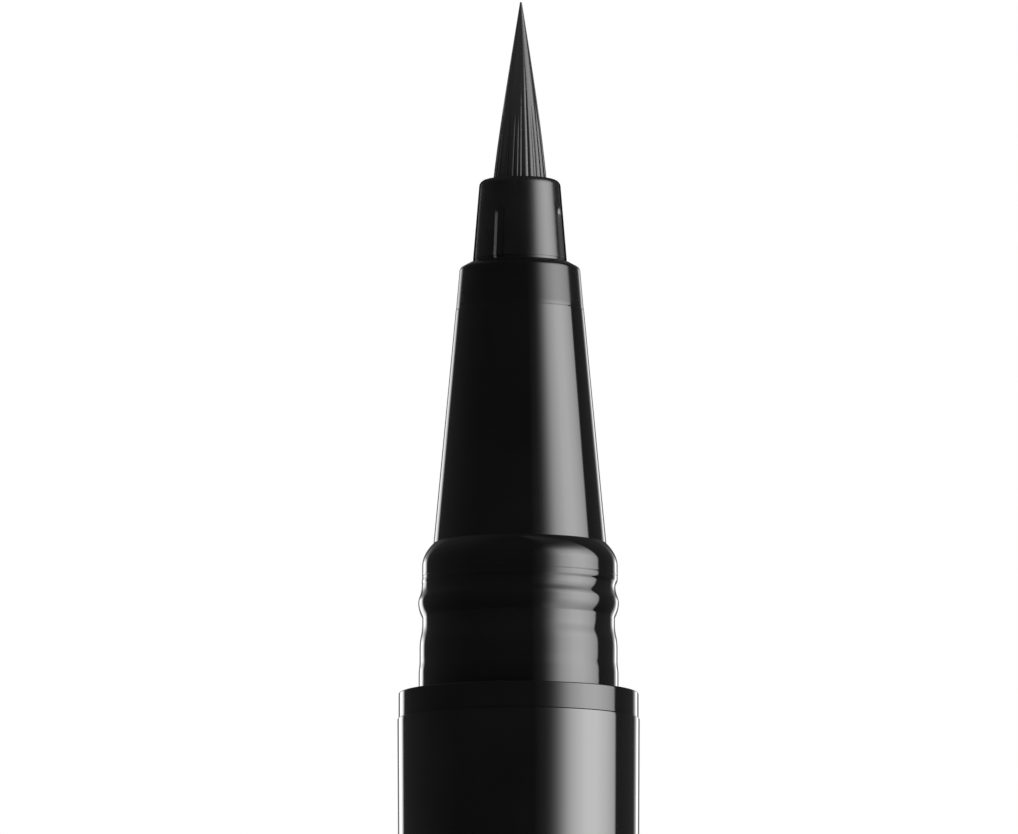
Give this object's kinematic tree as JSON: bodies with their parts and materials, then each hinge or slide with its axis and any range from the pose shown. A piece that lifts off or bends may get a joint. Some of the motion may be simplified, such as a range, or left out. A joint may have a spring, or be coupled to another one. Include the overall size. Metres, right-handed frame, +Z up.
{
  "type": "liquid eyeliner pen",
  "caption": "Slim black liquid eyeliner pen with a pointed brush tip in a vented nozzle, a glossy tapered front with a snap neck, a free-ink tank inside, and a sprung cap posted on its tail.",
  "frame": {"origin": "centre of the cap's closed flat end, on which the pen stands with its brush up", "axes": "+Z up the pen's axis to the brush's point, +X and +Y across the pen"},
  "size_m": [0.0104, 0.0104, 0.1594],
  "materials": {
    "gloss_black": "high gloss moulded black",
    "satin_black": "satin moulded black",
    "brush_fibre": "fine fibres wet with black ink",
    "wick_fibre": "bonded fibre rod",
    "collector_plastic": "moulded, fine fins",
    "tank_plastic": "natural moulded plastic",
    "ball_steel": "polished",
    "inner_cap_plastic": "natural moulded plastic",
    "spring_steel": "drawn wire"
  },
  "bodies": {
    "pen": {"barrel": "gloss_black", "front_barrel": "gloss_black", "tip_nozzle": "satin_black", "brush_tuft": "brush_fibre", "ink_collector": "collector_plastic", "relay_wick": "wick_fibre", "ink_tank": "tank_plastic", "tail_plug": "gloss_black"},
    "cap": {"cap_shell": "gloss_black", "cap_spring": "spring_steel"},
    "inner_cap": {"inner_cap": "inner_cap_plastic"},
    "stirring_ball": {"stirring_ball": "ball_steel"}
  },
  "joints": [
    {"name": "cap_pull", "type": "slide", "parent": "cap", "child": "pen", "axis": [0, 0, 1], "range_m": [0, 0.035]},
    {"name": "inner_cap_slide", "type": "slide", "parent": "cap", "child": "inner_cap", "axis": [0, 0, -1], "range_m": [0, 0.002], "stiffness_N_per_m": 210, "springref_m": -0.002, "deforming": ["cap_spring"]},
    {"name": "ball_travel", "type": "slide", "parent": "pen", "child": "stirring_ball", "axis": [0, 0, 1], "range_m": [0, 0.0397]}
  ]
}
